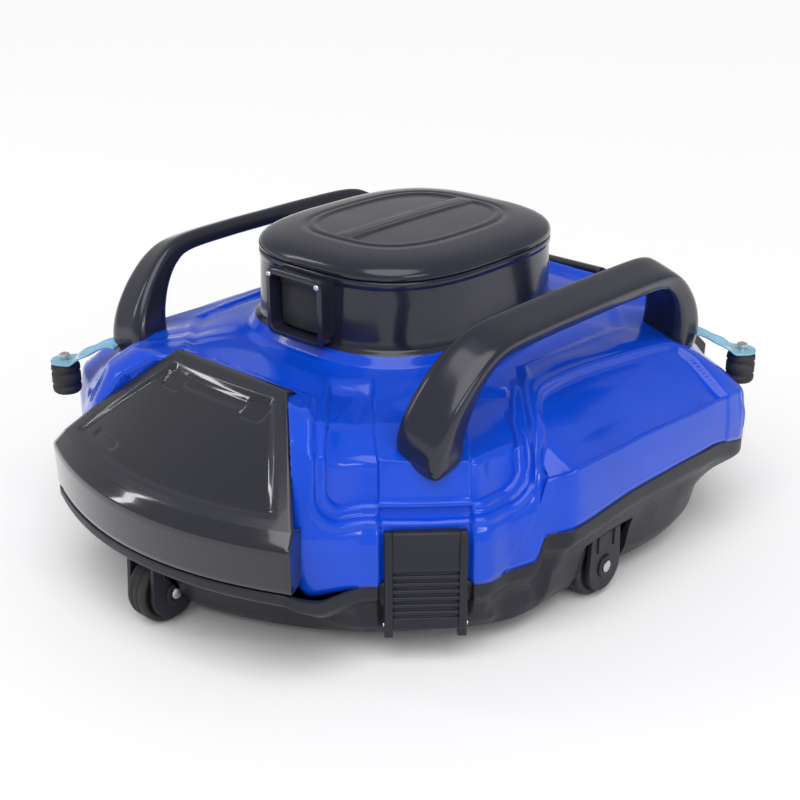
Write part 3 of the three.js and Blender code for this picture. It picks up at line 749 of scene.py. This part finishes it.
def nose_faces(rows, inner_rows, columns):
    """Faces of the outer grid, the inner grid after it, and the strips between their first and last rows."""
    start = rows * columns
    faces = grid_faces(rows, columns, closed=False)
    inner = grid_faces(inner_rows, columns, closed=False, start=start)
    faces += [tuple(reversed(face)) for face in inner]
    top = (rows - 1) * columns
    inner_top = start + (inner_rows - 1) * columns
    for i in range(columns - 1):
        faces.append((i + 1, i, start + i, start + i + 1))
        faces.append((top + i, top + i + 1, inner_top + i + 1, inner_top + i))
    return faces


def nose_piece(name, node, turn):
    grid = nose_surface()
    normal = np.cross(np.gradient(grid, axis=1), np.gradient(grid, axis=0))
    normal /= np.maximum(np.linalg.norm(normal, axis=-1, keepdims=True), 1e-9)
    if normal[..., 2].mean() < 0:
        normal = -normal
    sink, window = nose_relief(grid)
    outer = grid + normal * sink[..., None]
    inner = grid - normal * 2.6
    inner[0] = grid[0] + np.array([0, 0, 0.2])
    inner = inner[::3]
    rows, columns = window.shape
    points = np.concatenate([outer.reshape(-1, 3), inner.reshape(-1, 3)])
    shape = (points, nose_faces(rows, len(inner), columns))
    obj = piece(name, turned(shape) if turn else shape, SMOKE, "upper", node)
    obj.data.materials.append(TRIM)
    tinted = window.reshape(-1)
    for polygon in obj.data.polygons:
        first = polygon.vertices[0]
        if FIRST_SLOPE_ROW * columns <= first < rows * columns and tinted[first] < 0.5:
            polygon.material_index = 1


# --- dome
DUCT_MIDDLE_Z = 163.4
FLAP_HALF = 17.4
CAP_POINTS = 240


def oval_loop(x, y, z, count=160, power=DOME_POWER):
    a = circle(count)
    return polar(oval_radius(x, y, a, power), z, a)


def lathe(profile, count):
    """Turns (radius, height) pairs about Z. A profile that stays off the axis closes on itself."""
    a = circle(count)
    loops = [polar(np.full(count, max(r, 0.02)), z, a) for r, z in profile]
    on_axis = profile[0][0] <= 0.02 and profile[-1][0] <= 0.02
    return skin(loops, ring=not on_axis)


def dome_wall():
    """The housing's skirt: a foot flange, a drawn-in wall, a shadow line and a bead under the cap."""
    stations = [
        (4.0, 137.4), (4.2, 138.4), (4.0, 141.5), (3.4, 142.6), (1.0, 143.2), (0.3, 144.5), (0.2, 150),
        (0.0, 160), (-0.3, 172), (-0.5, 178.6), (-0.4, 179.4), (0.1, 180), (0.2, 182.4), (0.0, 183.3),
        (-0.8, 183.9), (-3.2, 183.9), (-3.4, 160), (-3.4, 138), (0.0, 137.2),
    ]
    loops = [oval_loop(DOME_X + grow, DOME_Y + grow, z) for grow, z in stations]
    wall = piece("dome_wall", skin(loops, ring=True), GRAPHITE, "upper", "dome_housing")
    for sign in (1, -1):
        cut(wall, block(-18.5, 18.5, *span(sign, 50, 120), 147.5, 179.5))


def duct_pieces():
    """The square outlet that stands out at each end of the dome, with a lipped mouth and two screws."""
    # (distance out from the middle, half width)
    sections = [
        (96.9, 19.2), (96.9, 21.6), (96.4, 22.3), (94.6, 22.3), (94.1, 21.6), (76.0, 21.6), (76.0, 19.2),
        (95.9, 18.9),
    ]
    screw_head = [(0, 0), (1.9, 0), (1.9, 1.0), (1.3, 1.6), (0, 1.7)]
    count = 64
    a = circle(count) + math.pi / count
    for name, sign in (("front", -1), ("rear", 1)):
        rows = []
        for y, half in sections:
            loop = polar(oval_radius(half, half - 2.4, a, 12.0), sign * y, a)
            rows.append(loop[:, [0, 2, 1]] + np.array([0, 0, DUCT_MIDDLE_Z]))
        crisp_shade(piece(f"outlet_duct_{name}", skin(rows, ring=True), GRAPHITE, "upper"), 45)
        for side, tag in ((-1, "l"), (1, "r")):
            points, faces = lathe(screw_head, 20)
            place = np.array([side * 19.3, sign * 96.6, 179.5])
            shape = (points[:, [0, 2, 1]] * np.array([1, sign, 1]) + place, faces)
            piece(f"duct_screw_{name}_{tag}", shape, STEEL, "upper")


def outlet_flaps():
    """Bowed rubber flaps, thicker round the hinge pin at their top."""
    # (height, half thickness)
    stations = [
        (148.4, 0.5), (149.2, 0.9), (158, 1.2), (170, 1.2), (174.0, 1.4), (175.4, 2.3), (177.0, 2.3),
        (178.4, 1.4), (178.9, 0.5),
    ]
    across = np.linspace(-FLAP_HALF, FLAP_HALF, 25)
    x = np.concatenate([across, -across])
    face = np.repeat([1, -1], len(across))
    bow = 1.6 * (1 - (x / FLAP_HALF) ** 2)
    for name, sign in (("front", -1), ("rear", 1)):
        rows = []
        for z, thick in stations:
            out = 88.0 + bow * smooth_step(178 - z, 2, 14) + face * thick
            rows.append(np.stack([x, sign * out, np.full(len(x), z)], axis=-1))
        piece(f"flap_{name}", skin(rows), RUBBER, f"outlet_flap_{name}", f"outlet_flap_{name}")


def dome_cap():
    """A crowned lid with a rolled edge, a seam ring and two sunk panels either side of a centre bar."""
    # (growth past the dome's outline, height)
    stations = [
        (0.0, 184.5), (0.2, 185.1), (0.2, 186.4), (-0.1, 187.8), (-0.8, 189.2), (-2.1, 190.7), (-4.2, 192.1),
        (-7.2, 193.4), (-11.0, 194.4), (-15.5, 195.2), (-20.5, 195.9), (-24.5, 196.3), (-25.3, 195.7),
        (-26.3, 195.6), (-27.0, 196.4), (-28.0, 196.6),
    ]
    for inset in np.linspace(29.0, 71.0, 44):
        stations.append((-inset, 196.6 + 1.0 * (1 - ((71.0 - inset) / 43.0) ** 2)))
    loops = []
    for grow, z in stations:
        loop = oval_loop(DOME_X + grow, DOME_Y + grow, z, CAP_POINTS)
        if grow < -28.5:
            x = np.abs(loop[:, 0])
            edge = -grow - 30.0
            loop[:, 2] -= 1.2 * smooth_step(edge, 0, 1.6) * smooth_step(x, 6.5, 8.0)
            loop[:, 2] += 0.35 * inside(x - 3.6, 1.2) * smooth_step(edge, 0, 4)
        loops.append(loop)
    hollow = ((-70, 193), (-30, 192.5), (-9, 190), (-3.2, 184.5))
    under = [oval_loop(DOME_X + grow, DOME_Y + grow, z, CAP_POINTS) for grow, z in hollow]
    piece("cap_lid", skin([*under, *loops]), GRAPHITE, "upper", "dome_cap")


# --- handles
# Middle line of the right handle from its front foot to halfway: x, y, z, width and depth there.
HANDLE_KNOTS = [
    (117.5, -112.4, 109.6, 25, 16), (117.6, -112.7, 110.8, 29, 20.5), (118.0, -113.7, 114, 31, 23.5),
    (119.4, -115, 124, 31.5, 24.5), (121.6, -111, 138, 30, 21), (124, -102, 153, 28, 16),
    (126.4, -89, 164.8, 25.5, 12.8), (127.8, -73, 170.4, 24, 11.4), (128.2, -38, 171.8, 23.5, 11),
]
HANDLE_MIDDLE = (128.2, 0, 171.9, 23.5, 11)
HANDLE_LEAN = 0.34


def handle_points():
    """A smooth curve through the handle's knots, foot to foot."""
    mirrored = [(x, -y, z, width, depth) for x, y, z, width, depth in reversed(HANDLE_KNOTS)]
    knots = np.array([*HANDLE_KNOTS, HANDLE_MIDDLE, *mirrored], float)
    place = np.linspace(0, len(knots) - 1, 200)
    index = np.clip(place.astype(int), 0, len(knots) - 2)
    t = (place - index)[:, None]
    padded = np.concatenate([2 * knots[:1] - knots[1:2], knots, 2 * knots[-1:] - knots[-2:-1]])
    p0, p1, p2, p3 = (padded[index + k] for k in range(4))
    square = 2 * p0 - 5 * p1 + 4 * p2 - p3
    cube = 3 * p1 - p0 - 3 * p2 + p3
    return 0.5 * (2 * p1 + (p2 - p0) * t + square * t**2 + cube * t**3)


def handle_shape():
    data = handle_points()
    middle = data[:, :3]
    along = np.gradient(middle, axis=0)
    along /= np.linalg.norm(along, axis=1, keepdims=True)
    across = np.tile(np.array([math.cos(HANDLE_LEAN), 0, -math.sin(HANDLE_LEAN)]), (len(middle), 1))
    across -= along * (across * along).sum(1, keepdims=True)
    across /= np.linalg.norm(across, axis=1, keepdims=True)
    outward = np.cross(across, along)
    a = circle(48)
    loops = []
    for point, u, v, (width, depth) in zip(middle, across, outward, data[:, 3:]):
        r = oval_radius(width / 2, depth / 2, a, 5.0)
        loops.append(point + np.outer(r * np.cos(a), u) + np.outer(r * np.sin(a), v))
    return skin(loops)


def handle_pieces():
    shape = handle_shape()
    piece("grip_right", shape, GRAPHITE, "upper", "handle_right")
    piece("grip_left", turned(shape), GRAPHITE, "upper", "handle_left")


# --- running gear
FORK_CHEEK = 15.5
FORK_TOP = 42.6
AXLE_HALF = 11.9


def wheel_pieces():
    # (radius, distance along the axle)
    side = [
        (2.1, -7.0), (6.2, -7.0), (7.0, -6.5), (7.6, -5.0), (9.0, -4.4), (14.0, -4.4), (15.2, -5.0),
        (16.0, -6.4), (17.2, -7.0), (18.8, -6.9), (19.6, -6.2), (19.95, -5.0), (20.0, -3.2), (19.4, -2.9),
        (19.4, -1.2), (20.0, -0.9),
    ]
    head = [(0, 2.0), (2.6, 2.0), (3.6, 1.4), (3.6, 0.0), (2.0, 0.0)]
    tyre = lathe(side + [(r, -z) for r, z in reversed(side)], 72)
    pin = lathe([(r, -AXLE_HALF - z) for r, z in head] + [(r, AXLE_HALF + z) for r, z in reversed(head)], 28)
    for names, (x, y) in ((("front", "rear"), FRONT_WHEEL), (("right", "left"), SIDE_WHEEL)):
        for name, sign in zip(names, (1, -1)):
            centre = (sign * x, sign * y, WHEEL_R)
            piece(f"tyre_{name}", lay(tyre, centre), RUBBER, f"wheel_{name}", f"wheel_{name}")
            crisp_shade(piece(f"axle_{name}", lay(pin, centre), STEEL, "base", f"wheel_axle_{name}"))
            fork_piece(name, sign * x, sign * y)


def fork_piece(name, x, y):
    """Two arms with round eyes, ribbed on the outside, under one plate."""
    parts = [block(x - 11.7, x + 11.7, y - 14, y + 14, 40.9, FORK_TOP)]
    outline = []
    for degrees in range(180, 361, 6):
        a = math.radians(degrees)
        outline.append((y + FORK_CHEEK * math.cos(a), WHEEL_R + FORK_CHEEK * math.sin(a)))
    outline += [(y + 14.6, 36), (y + 14, FORK_TOP), (y - 14, FORK_TOP), (y - 14.6, 36)]
    eye = lay(lathe([(3.8, 0), (7.0, 0), (7.0, 0.9), (6.4, 1.4), (4.4, 1.4), (3.8, 0.9)], 40), (11.65, 0, 0))
    for s in (-1, 1):
        parts.append(extrude(outline, *sorted((x + s * 8.7, x + s * 11.7)), 0))
        parts.append((eye[0] * np.array([s, 1, 1]) + np.array([x, y, WHEEL_R]), eye[1]))
        for side in (-1, 1):
            rib = sorted((x + s * 11.6, x + s * 12.6)) + sorted((y + side * 7, y + side * 8.6))
            parts.append(block(*rib, 31.0, 41.0))
    soften(piece(f"fork_{name}", join_parts(parts), BLACK, "base", f"wheel_fork_{name}"), 0.6)


ROLLER = np.array([152.5, 149.5, 0.0])
EYE_RADIUS = 8.9


def roller_pieces():
    # (radius, height)
    roller = [
        (2.1, 86), (6.4, 86), (7.8, 86.5), (8.7, 87.6), (9.0, 89.2), (9.0, 90.5), (8.3, 91.2), (8.3, 92.4),
        (9.0, 93.1), (9.0, 98.9), (8.3, 99.6), (8.3, 100.8), (9.0, 101.5), (9.0, 102.8), (8.7, 104.4),
        (7.8, 105.5), (6.4, 106), (2.1, 106),
    ]
    stud = [
        (0, 84.6), (2.8, 84.6), (3.0, 85.6), (2.0, 85.7), (2.0, 109.8), (3.4, 110), (3.2, 111.2), (2, 111.8),
        (0, 112),
    ]
    for name, sign in (("right", 1), ("left", -1)):
        turn = np.array([sign, sign, 1.0])
        points, faces = lathe(roller, 56)
        shape = ((points + ROLLER) * turn, faces)
        piece(f"roller_{name}", shape, RUBBER, f"guide_roller_{name}", f"guide_roller_{name}")
        points, faces = lathe(stud, 28)
        shape = ((points + ROLLER) * turn, faces)
        crisp_shade(piece(f"roller_stud_{name}", shape, STEEL, "upper", f"roller_pin_{name}"))
        arm_piece(name, turn)


def arm_piece(name, turn):
    """A springy pale blade: a rounded eye over the roller, then a wave down to the shell."""
    inward = np.array([-0.783, -0.622, 0.0])
    across = np.array([0.622, -0.783, 0.0])
    up = np.array([0, 0, 1.0])
    loops = []
    for reach in np.linspace(-8.5, 34, 40):
        wave = 1.6 * math.sin(reach * 0.26) * smooth_step(reach, 4, 12)
        rise = 107.4 + 9.0 * smooth_step(reach, 3, 24) + wave
        if reach < 0:
            half = math.sqrt(max(EYE_RADIUS**2 - reach**2, 0.4))
        else:
            half = EYE_RADIUS - 0.8 * smooth_step(reach, 0, 10) + 1.4 * math.sin(reach * 0.2)
        share = np.linspace(-1, 1, 15)[:, None]
        curl = 1.8 * share**2 * smooth_step(reach, 6, 16)
        row = ROLLER + inward * reach + across * share * half + up * (rise + curl)
        loops.append(np.concatenate([row, row[::-1] - up * 1.3]))
    points, faces = skin(loops)
    piece(f"arm_{name}", (points * turn, faces), SKY, "upper", f"roller_arm_{name}")


# --- latches
def to_corner(points, sign):
    """From a frame whose +X points out of the latch corner to the object's frame."""
    x, y, z = points.T
    return np.stack([sign * (x + y) * DIAGONAL, sign * (y - x) * DIAGONAL, z], axis=-1)


def latch_pieces():
    """A ribbed plate between two side rails, with legs that reach down to the hinge pin."""
    low, high = 20.0, 79.0
    # outlines of (distance out, height)
    face = [(1, low), (1, high), (5.2, high), (6.6, high - 1), (7.2, high - 5), (6.8, high - 18)]
    face.append((7.5, high - 20))
    z = high - 21.0
    while z > low + 8:
        face += [(7.6, z), (7.6, z - 1.8), (6.0, z - 2.3), (6.0, z - 3.6)]
        z -= 4.3
    face += [(7.4, z), (7.4, low + 1.5), (5.5, low)]
    rail = [(1, low), (1, high - 0.5), (5, high - 0.5), (8, high - 7), (8, low + 4), (6.5, low)]
    leg = [(1.2, 15.2), (1.2, 26), (6.4, 26), (6.8, 22), (5.4, 15.2)]
    parts = [extrude(face, 4.2 - LATCH_HALF, LATCH_HALF - 4.2, 1)]
    for side in (-1, 1):
        parts.append(extrude(rail, *span(side, LATCH_HALF - 4.4, LATCH_HALF), 1))
        parts.append(extrude(leg, *span(side, LATCH_HALF - 4.6, LATCH_HALF + 0.2), 1))
    points, faces = join_parts(parts)
    points = points + np.array([LATCH_OUT, 0, 0])
    for name, sign in (("right", 1), ("left", -1)):
        shape = (to_corner(points, sign), faces)
        soften(piece(f"clasp_{name}", shape, BLACK, f"latch_{name}", f"latch_{name}"), 0.5)


# --- controls
BUTTON_Y, PORT_Y, CONTROLS_Z = -18, 20, 160


def facing_left(profile, start, y):
    """A turned piece whose axis runs out of the dome's left wall from x = -start."""
    points, faces = lathe(profile, 48)
    return points[:, [2, 0, 1]] * np.array([-1, 1, 1]) + np.array([-start, y, CONTROLS_Z]), faces


def controls():
    """The power button, dished for a fingertip, and the charging port's plug with its pull tab."""
    button = [
        (0, 0), (6.5, 0), (6.7, 0.4), (6.7, 8.8), (6.3, 9.7), (5.4, 10.0), (4.7, 9.7), (3.2, 9.2), (0, 9.0),
    ]
    bezel = [(8.2, 0), (10.2, 0), (10.2, 0.9), (9.7, 1.4), (8.7, 1.4), (8.2, 0.9)]
    plug = [
        (0, 0), (5.5, 0), (5.8, 0.5), (5.8, 7.4), (8.2, 7.5), (8.5, 7.9), (8.5, 8.9), (7.9, 9.7), (6.8, 10.0),
        (5.8, 9.5), (0, 9.5),
    ]
    piece("button", facing_left(button, 64.7, BUTTON_Y), RUBBER, "power_button", "power_button")
    crisp_shade(piece("button_bezel", facing_left(bezel, 71.6, BUTTON_Y), STEEL, "upper"))
    pull_tab = block(-75.6, -74.7, PORT_Y + 7, PORT_Y + 12.5, CONTROLS_Z - 2.4, CONTROLS_Z + 2.4)
    shape = join_parts([facing_left(plug, 65.7, PORT_Y), pull_tab])
    soften(piece("plug", shape, RUBBER, "charge_port_cap", "charge_port_cap"), 0.4)


# --- filter and pump
TRAY_X, TRAY_Y = 75, 55
FLAP_KNUCKLE = (0, 14, 16)
BLADE_START, BLADE_END = 6.5, 29.5
BLADE_FOOT = 111.2


def tray_piece():
    """The debris tray: rounded corners, a rolled rim, a floor slot over the intake and two mesh windows."""
    # (growth past the tray's outline, height)
    stations = [
        (-3.0, 15.5), (-1.4, 15.9), (-0.8, 17.4), (-0.8, 71.8), (-0.1, 72.6), (0.0, 75.2), (-0.5, 76.0),
        (-2.0, 76.0), (-2.5, 75.3), (-2.6, 20.0), (-3.2, 18.4), (-4.8, 17.9),
    ]
    loops = [oval_loop(TRAY_X + grow, TRAY_Y + grow, z, 240, 16.0) for grow, z in stations]
    tray = piece("debris_tray", skin(loops), WHITE, "base", "filter_tray")
    bars = []
    for sign in (-1, 1):
        cut(tray, block(-66, 66, *span(sign, 49, 60), 26.5, 70))
        bars += [block(x - 1.1, x + 1.1, *span(sign, 54.2, 54.9), 26, 70.4) for x in (-44, -22, 0, 22, 44)]
    cut(tray, block(-62, 62, -14, 20, 10, 25))
    crisp_shade(tray, 40)
    soften(piece("tray_bars", join_parts(bars), WHITE, "base"), 0.3)


def intake_flap_piece():
    """A ribbed rubber plate with a rolled hinge edge."""
    parts = [block(-54, 54, -12, 13, 13.6, 14.7)]
    parts += [block(-51, 51, y - 0.7, y + 0.7, 14.6, 15.1) for y in (-9, -4, 1, 6)]
    parts.append(lay(lathe([(1.3, -54), (2.4, -53.6), (2.4, 53.6), (1.3, 54)], 24), FLAP_KNUCKLE))
    soften(piece("intake_door", join_parts(parts), RUBBER, "intake_flap", "intake_flap"), 0.25)


def blade(angle):
    """One blade, which curves back and loses height as it runs out."""
    rows = []
    for r in np.linspace(BLADE_START, BLADE_END, 14):
        share = (r - BLADE_START) / (BLADE_END - BLADE_START)
        turn = angle - 0.95 * share**1.1
        middle = np.array([math.cos(turn), math.sin(turn)]) * r
        aside = np.array([-math.sin(turn), math.cos(turn)]) * 0.75
        top = 119 - 2.5 * share**2
        one, other = middle + aside, middle - aside
        rows.append([(*one, BLADE_FOOT), (*other, BLADE_FOOT), (*other, top), (*one, top)])
    return skin(rows)


def impeller_piece():
    """A backplate and hub with six blades."""
    plate = [
        (2.6, 110.0), (30.4, 110.0), (31.0, 110.4), (31.0, 111.2), (30.4, 111.6), (8.5, 111.6), (8.0, 112.4),
        (7.6, 118.6), (6.4, 119.8), (2.6, 120.0),
    ]
    parts = [lathe(plate, 72)] + [blade(number * math.pi / 3) for number in range(6)]
    soften(piece("impeller_wheel", join_parts(parts), WHITE, "rotor", "impeller"), 0.25)


# --- kept CAD nodes
def dress_inner_parts():
    looks = {
        RUBBER: ["dome_seal"],
        BLACK: ["pump_deck", "impeller_shroud"],
        STEEL: ["motor_can", "motor_shaft", "intake_pin", "outlet_pin_front", "outlet_pin_rear",
                "latch_pin_right", "latch_pin_left"],
        WRAP: ["battery_right", "battery_left"],
        BOARD: ["control_board"],
        MESH: ["filter_mesh_front", "filter_mesh_rear"],
    }
    for material, names in looks.items():
        for name in names:
            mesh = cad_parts[name].data
            mesh.materials.clear()
            mesh.materials.append(material)


# --- stage, light, camera
STRIP_TARGET = Vector((0, 0, 0.1))
CAMERA_TARGET = Vector((-3.1, -2.7, 75.9))
CAMERA_DISTANCE = 912.3
SENSOR = 36.0
FOCAL_SHARE = 1427.5 / 800


def stage():
    bpy.ops.mesh.primitive_plane_add(size=14, location=(0, 0, -0.0002))
    floor = bpy.context.object
    floor.name = "studio_floor"
    paper = bpy.data.materials.new("studio_paper")
    paper.use_nodes = True
    shader = paper.node_tree.nodes["Principled BSDF"]
    set_inputs(shader, Base_Color=(0.93, 0.93, 0.93, 1), Roughness=0.85, Specular_IOR_Level=0.1)
    floor.data.materials.append(paper)
    world = bpy.data.worlds.new("studio")
    world.use_nodes = True
    set_inputs(world.node_tree.nodes["Background"], Color=(1, 1, 1, 1), Strength=0.46)
    bpy.context.scene.world = world
    bpy.context.scene.view_settings.view_transform = "Standard"


def aim(name, data, place, direction):
    """A light or camera at a place, looking along a direction."""
    obj = bpy.data.objects.new(name, data)
    obj.location = place
    obj.rotation_euler = direction.to_track_quat("-Z", "Y").to_euler()
    bpy.context.scene.collection.objects.link(obj)
    return obj


def strip(name, place, size, power):
    light = bpy.data.lights.new(name, "AREA")
    light.shape = "RECTANGLE"
    light.size, light.size_y = size
    light.energy = power
    aim(name, light, place, STRIP_TARGET - Vector(place))


def lights():
    """One wide soft key overhead, as an even sky of light, and two weak strips for edge highlights."""
    key = bpy.data.lights.new("soft_key", "SUN")
    key.energy = 2.05
    key.angle = math.radians(58)
    aim("soft_key", key, (0, 0, 0), Vector((-0.35, 0.42, -1.0)))
    strip("left_strip", (-1.3, -1.1, 0.9), (0.12, 0.9), 3)
    strip("right_strip", (1.7, -0.5, 0.7), (0.9, 0.14), 4)


def camera():
    """A long lens from the front right, a little above the machine."""
    azimuth, elevation = math.radians(42.0), math.radians(23.0)
    level = math.cos(elevation)
    back = Vector((math.sin(azimuth) * level, -math.cos(azimuth) * level, math.sin(elevation)))
    data = bpy.data.cameras.new("camera")
    data.sensor_width = SENSOR
    data.lens = FOCAL_SHARE * SENSOR
    place = (CAMERA_TARGET + back * CAMERA_DISTANCE) * MM
    bpy.context.scene.camera = aim("camera", data, place, -back)


stage()
lights()
camera()
shell_piece()
wells(base_piece())
nose_piece("nose_hood_front", "nose_cover_front", False)
nose_piece("nose_hood_rear", "nose_cover_rear", True)
dome_wall()
duct_pieces()
outlet_flaps()
dome_cap()
handle_pieces()
wheel_pieces()
roller_pieces()
latch_pieces()
controls()
tray_piece()
intake_flap_piece()
impeller_piece()
dress_inner_parts()
